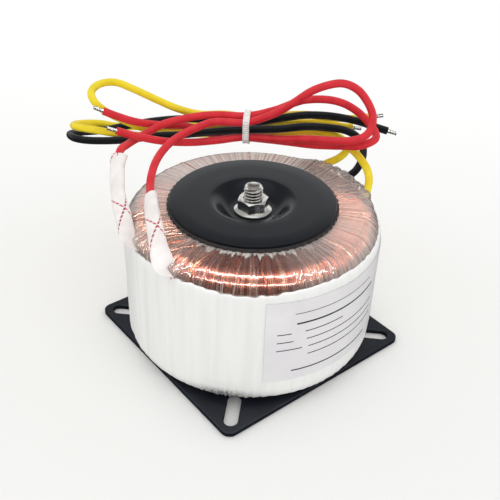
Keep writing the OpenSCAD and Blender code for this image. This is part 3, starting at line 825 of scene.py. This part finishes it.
def add_film(finish):
    """The film's taut skin with its radial folds, from under the pad to under the white band."""
    draw = random.Random(41)
    lift = np.full((FILM_ROWS, FILM_COLUMNS), 0.12 * MM)
    white = np.zeros((FILM_ROWS, FILM_COLUMNS))
    angles = 2 * np.pi * np.arange(FILM_COLUMNS) / FILM_COLUMNS
    degrees = np.degrees(angles)
    walks = np.linspace(FILM_START, FILM_END, FILM_ROWS)
    sag = ripple(42, 30, 90, angles)
    for n in range(FILM_FOLDS):
        anywhere = n < FOLDS_ANYWHERE
        middle = draw.uniform(0, 360) if anywhere else draw.gauss(225, 22)
        lean = draw.gauss(0, 1.0 if anywhere else 6)
        width = draw.uniform(0.2, 0.45)
        height = draw.uniform(0.05, 0.22) * MM
        begin, end = sorted((draw.uniform(0.3, 0.85), draw.uniform(0.9, 1.4)))
        strength = draw.uniform(0.15, 0.6)
        for i in range(FILM_ROWS):
            t = i / (FILM_ROWS - 1)
            if not begin < t < end:
                continue
            fade = sin(pi * (t - begin) / (end - begin)) ** 0.5
            centre = middle + lean * (t - 0.5)
            lift[i] += height * fade * swell(degrees, centre, width)
            white[i] = np.maximum(white[i], strength * fade * swell(degrees, centre, width * 0.55))
    for middle, width, place, reach, height, veil in BULGES:
        across = swell(degrees, middle, width)
        for i, walk in enumerate(walks):
            down = math.exp(-((walk / MM - place) / reach) ** 2) * clamped((24.5 - walk / MM) / 2.5)
            lift[i] += height * MM * across * down * (1 + 0.25 * sag)
            white[i] = np.maximum(white[i], veil * across * down)
    lift += 0.07 * MM * (1 + sag)
    points = [on_body(walk, a, lift[i, j]) for i, walk in enumerate(walks) for j, a in enumerate(angles)]
    faces = [f[::-1] for f in grid_faces(FILM_ROWS, FILM_COLUMNS)]
    piece = mesh_piece("film_skin", points, faces, finish, "film_wrap", sharp=80)
    paint(piece, "haze_and_light", [max(white[i, j], film_haze_and_light(a, walk)) for i, walk in enumerate(walks)
                          for j, a in enumerate(angles)])


# ---- White side wrap ----

WRAP_COLUMNS = 720
WRAP_T = 0.35 * MM
WRAP_R = 60.35 * MM
WRAP_CREASES = 120
# direction of the crumple at the foot, in degrees
CRUMPLE = 266


def wrap_finish():
    finish = Finish("white_wrap", "f3f3f1", 0.4)
    white = finish.mottle(330, 4, (0.35, "efefed"), (0.6, "f5f5f3"), stretch=(1, 1, 0.05))
    finish.scuff(240, 3, 0.28, 0.5, (1, 1, 0.15))
    finish.bump(finish.noise(650, 4, (1, 1, 0.05)), 0.22, 0.2 * MM)
    # grey patches over the crumpled foot
    darkening = finish.math("MULTIPLY", finish.attribute("crumpled"), finish.spread(finish.noise(420, 4), 0.1, 2.0),
                        clamp=True)
    finish.drive("Base Color", finish.mix(darkening, white, "9a9a98"))
    return finish


def wrap_profile():
    """Outer face of the wrap from its upper edge down round the lower shoulder, as (r, z, gather)."""
    foot, turn = BODY_Z0 + SHOULDER_R, BODY_R - SHOULDER_R
    edge = ((0, 1.25), (0.6, 0.8), (1.4, 0.42), (2.4, 0.15), (3.6, 0.03))
    rows = [(WRAP_R - inwards * MM, BAND_Z1 - drop * MM, 0.0) for drop, inwards in edge]
    rows += [(WRAP_R, BAND_Z1 + (foot - BAND_Z1) * t, 0.0) for t in np.linspace(0.12, 1, 10)]
    bends = [(radians(65 * k / 8), k / 8) for k in range(1, 9)]
    return rows + [(turn + (WRAP_R - turn) * cos(a), foot - (WRAP_R - turn) * sin(a), gather)
                   for a, gather in bends]


def near_foot(z):
    """How strongly the crumple at the wrap's foot shows at a height."""
    return clamped((14.5 * MM - z) / (5 * MM)) * clamped((z - 3 * MM) / (3 * MM))


def add_wrap(finish):
    """The white wrap: one closed skin with upright creases, an uneven edge and a gathered hem."""
    draw = random.Random(51)
    rows = wrap_profile()
    angles = 2 * np.pi * np.arange(WRAP_COLUMNS) / WRAP_COLUMNS
    degrees = np.degrees(angles)
    crease = np.zeros((len(rows), WRAP_COLUMNS))
    for _ in range(WRAP_CREASES):
        middle, width = draw.uniform(0, 360), draw.uniform(0.5, 1.8)
        height = draw.gauss(0, 0.11) * MM
        lean = draw.gauss(0, 2.0)
        begin, end = draw.uniform(-0.6, 0.5), draw.uniform(0.6, 1.5)
        for i in range(len(rows)):
            t = i / (len(rows) - 1)
            fade = max(0, sin(pi * (t - begin) / (end - begin))) if begin < t < end else 0
            crease[i] += height * fade * swell(degrees, middle + lean * t, width)
    # the label holds its part of the wrap smooth
    crease *= np.where((degrees > LABEL_START - 2) | (degrees < LABEL_END + 2 - 360), 0.25, 1)
    gather, edge = ripple(52, 50, 130, angles), ripple(53, 20, 90, angles)
    crumple = [swell(degrees, CRUMPLE, 12) * ripple(seed, 90, 240, angles) for seed in (54, 55, 56)]
    points, crumpled = [], []
    for side in (0, 1):
        for i, (r, z, g) in list(enumerate(rows))[::-1 if side else 1]:
            foot = near_foot(z)
            for j, a in enumerate(angles):
                bulge = crease[i, j] + 0.28 * MM * g * gather[j] + 0.7 * MM * foot * crumple[i % 3][j]
                settle = max(0, 1 - i / 6)
                top = (0.22 * MM * edge[j] - 1.5 * MM * tilt(a, 274, 17)) * settle
                top -= 0.9 * MM * max(0, crumple[0][j]) * clamped((8 * MM - z) / (4 * MM))
                rr = r + bulge * (1 - 0.7 * settle) - side * WRAP_T
                points.append((rr * cos(a), rr * sin(a), z + top + side * WRAP_T * g))
                crumpled.append(foot * tilt(a, CRUMPLE, 11))
    faces = grid_faces(2 * len(rows), WRAP_COLUMNS, closed_rows=True)
    piece = mesh_piece("white_wrap", points, [f[::-1] for f in faces], finish, "side_band", sharp=80)
    paint(piece, "crumpled", crumpled)


# ---- Label ----

LABEL_R = 60.66 * MM
LABEL_T = 0.12 * MM
LABEL_START = 282
LABEL_END = 368
LABEL_Z0 = 18.75 * MM
LABEL_Z1 = 62.75 * MM


# thin rules that divide the bare label: start and end in degrees, height and thickness in mm
LABEL_RULES = [(294, 337, 56, 0.35), (295, 341, 50.5, 0.9), (287, 293, 45.5, 0.5), (299, 318, 45.5, 0.5),
               (287, 294, 41, 0.5), (300, 342, 41, 0.5), (287, 298, 36.5, 0.5), (301, 342, 36.5, 0.5),
               (301, 343, 32, 0.5), (294, 338, 24, 0.7)]


def paper_finish():
    finish = Finish("label_paper", "e8e6e8", 0.42, Coat_Weight=0.3, Coat_Roughness=0.3)
    finish.mottle(60, 3, (0.3, "e6e4e7"), (0.7, "eeeced"))
    finish.bump(finish.noise(180, 3), 0.15, 0.2 * MM)
    return finish


def ink_finish():
    return Finish("label_ink", "3a3c44", 0.6)


def arc_sheet(start, end, z0, z1, inner, outer, columns, first=0):
    """A closed curved sheet between two angles in degrees."""
    corners = ((outer, z0), (outer, z1), (inner, z1), (inner, z0))
    angles = [radians(start + (end - start) * j / columns) for j in range(columns + 1)]
    points = [(r * cos(a), r * sin(a), z) for a in angles for r, z in corners]
    return points, tube_faces(columns + 1, 4, first)


def add_label(paper, ink):
    points, faces = arc_sheet(LABEL_START, LABEL_END, LABEL_Z0, LABEL_Z1, LABEL_R - LABEL_T, LABEL_R, 86)
    mesh_piece("label", points, faces, paper, "label", sharp=30)
    rules, rule_faces = [], []
    for start, end, z, thick in LABEL_RULES:
        p, f = arc_sheet(start, end, (z - thick / 2) * MM, (z + thick / 2) * MM, LABEL_R - 0.02 * MM,
                         LABEL_R + 0.02 * MM, end - start, len(rules))
        rules, rule_faces = rules + p, rule_faces + f
    mesh_piece("label_rules", rules, rule_faces, ink, sharp=30)


# ---- Clamping parts ----

def washer_finish():
    """Gloss black paint with faint scuffs and a little dust in the bowl."""
    finish = Finish("washer_black", "0d0e12", 0.1, Specular_IOR_Level=0.36,
                    Specular_Tint=(0.78, 0.88, 1.0, 1))
    dust = finish.math("GREATER_THAN", finish.math("MULTIPLY", finish.noise(2200, 1), finish.attribute("dusty")), 0.6)
    finish.drive("Base Color", finish.ramp(dust, [(0.0, "0d0e12"), (1.0, "a4a6aa")]))
    finish.scuff(90, 4, 0.18, 0.27)
    finish.bump(finish.noise(45, 2), 0.15, 0.4 * MM)
    return finish


def washer_profile():
    """The dish: a seat for the nut, a bowl round it and a flat ring with a soft edge, in mm over the seat."""
    top, t = 5.5, 1.2
    bowl = [(10.5 + 10 * k / 24, top * (1 - cos(pi * k / 24)) / 2) for k in range(25)]
    upper = [(4.5, 0), *bowl, (24, top), (31, top), (38.3, top), (38.7, top - 0.08), (38.95, top - 0.35)]
    lower = [(38.95, top - t), *[(r, h - t) for r, h in bowl[::-1]], (4.5, -t)]
    return rings(upper + lower, WASHER_Z1 - top * MM)


def rubber_finish():
    finish = Finish("rubber_black", "17181a", 0.6)
    finish.bump(finish.noise(900, 3), 0.3, 0.1 * MM)
    return finish


SCALLOPS = 64


def scallop(i, a, r, z):
    """The notched rim of the upper pad."""
    return r - (0.55 * MM * (0.5 - 0.5 * cos(SCALLOPS * a)) if i in (1, 2) else 0)


def add_clamp():
    """The washer and both pads. The washer is returned, for the lamps."""
    points, faces = lathe(washer_profile(), 192)
    washer = mesh_piece("dish_washer", points, faces, washer_finish(), "dish_washer", sharp=50)
    # dust lies in the bowl, to the right of the nut
    paint(washer, "dusty", [min(1, 1.8 * tilt(math.atan2(y, x), 318, 26)) if 9 * MM < math.hypot(x, y) < 19 * MM
                            else 0.0 for x, y, z in points])
    rubber = rubber_finish()
    for name, hole, segments, edge in (("upper_pad", 21.7 * MM, 768, scallop), ("lower_pad", 17.5 * MM, 128, None)):
        (_, _, z0), (outer, _, z1) = low(name), high(name)
        points, faces = lathe([(hole, z1), (outer, z1), (outer, z0), (hole, z0)], segments, radius_at=edge)
        mesh_piece(name, points, faces, rubber, name, sharp=40)
    return washer


# ---- Bolt and nut ----

HEX_AF = 13 * MM
THREAD_PITCH = 1.55 * MM
BOLT_R = 4.4 * MM
NUT_SHORTER = 1.45 * MM
BOLT_SHORTER = 1.8 * MM
THREAD_DEPTH = 0.8 * MM
BOLT_SIDES = 60
HEAD_Z1 = 7 * MM
HEX_TURN = 22
HEX_CORNER = 1.145


def zinc_finish():
    finish = Finish("zinc", (0.86, 0.85, 0.82), 0.14, 1.0)
    # painted shade: the bolt's thread roots are darkened, and the hollow of its end
    finish.drive("Base Color", finish.ramp(finish.attribute("darkening"), [(0.0, (0.86, 0.85, 0.82)),
                                                                      (0.8, (0.13, 0.085, 0.07))]))
    finish.scuff(500, 3, 0.1, 0.26)
    finish.bump(finish.noise(300, 3), 0.35, 0.25 * MM)
    return finish


def hex_radius(a):
    """Radius of the hexagon, its corners a little rounded, in one direction."""
    turn = (math.degrees(a) - HEX_TURN) % 60 - 30
    return min(HEX_AF / 2 / cos(radians(turn)), HEX_AF / 2 * HEX_CORNER)


def add_nut(finish):
    """A hexagon on a round flange, with a chamfer above and below."""
    z0, z1 = low("flange_nut").z, high("flange_nut").z - NUT_SHORTER
    bore = BOLT_R + 0.05 * MM
    rows = [(bore, z0)] + rings([(8.5, 0), (8.85, 0.15), (8.95, 0.45), (8.85, 0.8), (8.5, 1.0), (7.4, 1.3),
                                 (6.6, 1.5)], z0)
    first_hex = len(rows)
    rows += rings([(7.55, 1.55), (7.7, 1.8)], z0)
    rows += rings([(6.2 + h * 1.7, -h) for h in (0.9, 0.75, 0.6, 0.45, 0.3, 0.15, 0.0)], z1)
    hex_rows = range(first_hex, len(rows))
    rows += [(4.7 * MM, z1), (bore, z1 - 0.7 * MM)]
    points, faces = lathe(rows, 144, radius_at=lambda i, a, r, z: min(hex_radius(a), r) if i in hex_rows else r)
    return mesh_piece("flange_nut", points, faces, finish, "flange_nut", sharp=22)


def add_bolt(finish):
    """A hexagonal head in the plate's pressed centre and a real thread up to the bolt's end."""
    head_z0, end = low("bolt").z, high("bolt").z - BOLT_SHORTER
    start = low("flange_nut").z - 1 * MM
    length = end - 0.5 * MM - start
    rows = [(0.01 * MM, head_z0)] + rings([(6.25 + h * 1.6, h) for h in (0, 0.2, 0.45, 0.8, 1.0)], head_z0)
    hex_rows = range(1, len(rows) + 1)
    rows += [(8 * MM, HEAD_Z1), (BOLT_R, HEAD_Z1), (BOLT_R, start)]
    first = len(rows)
    steps = int(length / (THREAD_PITCH / 12))
    rows += [(BOLT_R, start + length * k / steps) for k in range(1, steps + 1)]
    thread_rows = range(first, len(rows))
    rows += rings([(3.8, -0.1), (3.45, 0), (3.1, -0.15), (2.6, -0.6), (1.6, -0.9), (0.01, -1.0)], end)

    def shape(i, a, r, z):
        if i in hex_rows:
            return min(hex_radius(a), r)
        if i in thread_rows:
            phase = ((z - start) / THREAD_PITCH - a / (2 * pi)) % 1
            chamfer = max(0, z - (end - 0.9 * MM)) * 0.9
            return r - max(THREAD_DEPTH * max(0, 1 - abs(phase - 0.5) / 0.4), chamfer)
        return r

    points, _ = lathe(rows, BOLT_SIDES, closed=False, radius_at=shape)
    bolt = mesh_piece("bolt", points, tube_faces(len(rows), BOLT_SIDES), finish, "bolt", sharp=28)
    # painted shade in the thread's roots, darker towards their bottom, and darker in the hollow of the end
    darkening = []
    for x, y, z in points:
        r = math.hypot(x, y)
        if z > end - 1.1 * MM:
            darkening.append(0.6 if r < 2.7 * MM else 0.0)
        else:
            darkening.append(0.8 * clamped((BOLT_R - r) / (0.6 * MM)) if z > start else 0.0)
    paint(bolt, "darkening", darkening)
    return bolt


# ---- Mounting plate ----

PLATE_SIDE = 110
PLATE_CORNER = 4.5
SLOT_W = 6.5
SLOT_L = 20
SLOT_SPAN = 123
PLATE_HOLE_R = 16
PLATE_BEVEL = 0.35 * MM


def plate_finish():
    finish = Finish("plate_black", "10131a", 0.45, Specular_IOR_Level=0.22)
    finish.mottle(55, 4, (0.3, "131720"), (0.7, "1b202b"))
    finish.scuff(350, 3, 0.42, 0.58)
    finish.bump(finish.noise(1500, 3), 0.25, 0.1 * MM)
    return finish


def add_plate(finish):
    data = bpy.data.curves.new("plate_outline", "CURVE")
    data.dimensions = "2D"
    data.fill_mode = "BOTH"
    data.extrude = PLATE_T / 2 - PLATE_BEVEL
    data.bevel_depth = PLATE_BEVEL
    data.bevel_resolution = 2
    data.offset = -PLATE_BEVEL

    def outline(points):
        poly_line(data, [(x * MM, y * MM, 0) for x, y in points], closed=True)

    def turned(points, degrees):
        c, s = cos(radians(degrees)), sin(radians(degrees))
        return [(x * c - y * s, x * s + y * c) for x, y in points]

    def bend(x, y, radius, start, end, steps):
        return [point[:2] for point in arc((x, y), radius, start, end, steps + 1)]

    half = PLATE_SIDE / 2 - PLATE_CORNER
    square = []
    for x, y, start in ((half, half, 0), (-half, half, 90), (-half, -half, 180), (half, -half, 270)):
        square += bend(x, y, PLATE_CORNER, start, start + 90, 12)
    outline(turned(square, 45))
    reach = (SLOT_L - SLOT_W) / 2
    slot = bend(SLOT_SPAN / 2 + reach, 0, SLOT_W / 2, -90, 90, 16)
    slot += bend(SLOT_SPAN / 2 - reach, 0, SLOT_W / 2, 90, 270, 16)
    for degrees in (0, 90, 180, 270):
        outline(turned(slot, degrees)[::-1])
    outline(bend(0, 0, PLATE_HOLE_R, 0, 360, 96)[:-1][::-1])
    flat = placed("plate_outline", data)
    bpy.context.view_layer.update()
    mesh = bpy.data.meshes.new_from_object(flat.evaluated_get(bpy.context.evaluated_depsgraph_get()))
    points = [v.co + Vector((0, 0, PLATE_T / 2)) for v in mesh.vertices]
    faces = [tuple(p.vertices) for p in mesh.polygons]
    bpy.data.objects.remove(flat)
    bpy.data.meshes.remove(mesh)
    mesh_piece("mounting_plate", points, faces, finish, "mounting_plate", sharp=40)
    # the pressed-up centre
    t = PLATE_T / MM
    rows = rings([(4.5, 7), (11.6, 7), (12.3, 6.7), (15.2, 0.35), (15.9, 0), (17.2, 0.02), (17.2, t - 0.02),
                  (16.6, t + 0.35), (13.7, t + 6.6), (13.0, t + 7), (4.5, t + 7)])
    points, faces = lathe(rows, 96)
    mesh_piece("plate_rise", points, [f[::-1] for f in faces], finish, sharp=50)


copper = copper_finish()
add_copper(copper)
add_stray_wires(copper)
add_film(film_finish())
add_wrap(wrap_finish())
add_label(paper_finish(), ink_finish())
washer, zinc = add_clamp(), zinc_finish()
clamp = [add_nut(zinc), add_bolt(zinc), washer]
add_plate(plate_finish())


# ---- Floor, world and lamps ----

def add_area_light(name, place, target, size, power, shine_only=False):
    light = bpy.data.lights.new(name, "AREA")
    light.shape = "RECTANGLE"
    light.size, light.size_y = size
    light.energy = power
    holder = placed(name, light)
    holder.location = place
    holder.rotation_mode = "QUATERNION"
    holder.rotation_quaternion = (Vector(target) - Vector(place)).to_track_quat("-Z", "Y")
    holder.visible_diffuse = not shine_only
    return holder


def add_floor():
    finish = Finish("floor_white", "f4f4f2", 0.9, Specular_IOR_Level=0.0)
    # painted light: the floor is whiter towards the back; reflections see a darker table
    _, y, _ = finish.axes("Object")
    white = finish.ramp(finish.spread(y, 0, 1, (0.05, 0.35)), [(0.0, "f4f4f2"), (1.0, "ffffff")])
    finish.drive("Base Color", finish.mix(finish.is_glossy_ray(), white, (0.1, 0.1, 0.1)))
    mesh = bpy.data.meshes.new("floor")
    half = 6
    mesh.from_pydata([(-half, -half, 0), (half, -half, 0), (half, half, 0), (-half, half, 0)], [], [(0, 1, 2, 3)])
    mesh.materials.append(finish.material)
    floor = placed("floor", mesh)
    floor.location.z = -0.2 * MM


# grey levels that mirror-like surfaces see, by the angle from the back's horizon over the top to the front's
STRIPS = [(0, 0.9), (31, 0.9), (34, 0.36), (80, 0.42), (104, 0.75), (126, 0.3), (141, 0.1), (180, 0.08)]
# the same for the two ends of the room, to the left and the right
ENDS = [(0, 0.9), (40, 0.9), (110, 0.9), (180, 0.5)]
# brightness of the even room, by height
ROOM = [(0.0, 1.0), (0.5, 0.93), (1.0, 0.84)]
ROOM_STRENGTH = 1.1


def add_world():
    """An even white room for soft light; mirror-like surfaces see light and dark bands instead."""
    world = bpy.data.worlds.new("studio")
    world.use_nodes = True
    world.cycles.sampling_method = "NONE"
    sky = Nodes(world.node_tree)
    x, y, z = sky.axes("Generated")
    sweep = sky.math("DIVIDE", sky.math("ARCTAN2", z, y), pi)
    strips, ends = (sky.ramp(sweep, [(angle / 180, level) for angle, level in stops]) for stops in (STRIPS, ENDS))
    seen = sky.mix(sky.ramp(sky.math("ABSOLUTE", x), [(0.8, 0.0), (0.93, 1.0)]), strips, ends)
    even, shiny = (sky.node("Background", (color, strength)).outputs["Background"]
                   for color, strength in ((sky.ramp(z, ROOM), ROOM_STRENGTH), (seen, 1)))
    both = sky.blend(sky.is_glossy_ray(), even, shiny)
    sky.set(sky.nodes["World Output"].inputs["Surface"], both)
    bpy.context.scene.world = world


add_floor()
add_world()
add_area_light("top_softbox", (-0.05, -0.05, 0.9), (0, 0, 0.05), (0.7, 0.7), 0.5)
# two strip lamps give the two bright lines on the winding's front shoulder, and leave the clamping parts alone
strips = [add_area_light("shoulder_strip", (0, -0.068, 0.25), (0, -0.054, 0.073), (0.6, 0.026), 1.3, True),
          add_area_light("rim_strip", (0, -0.302, 0.32), (0, -0.057, 0.07), (0.8, 0.032), 2.0, True)]
strip_lit = bpy.data.collections.new("strip_lit")
for item in bpy.context.scene.objects:
    if item.type == "MESH" and item not in clamp:
        strip_lit.objects.link(item)
for strip in strips:
    strip.light_linking.receiver_collection = strip_lit
bpy.context.scene.view_settings.view_transform = "Standard"
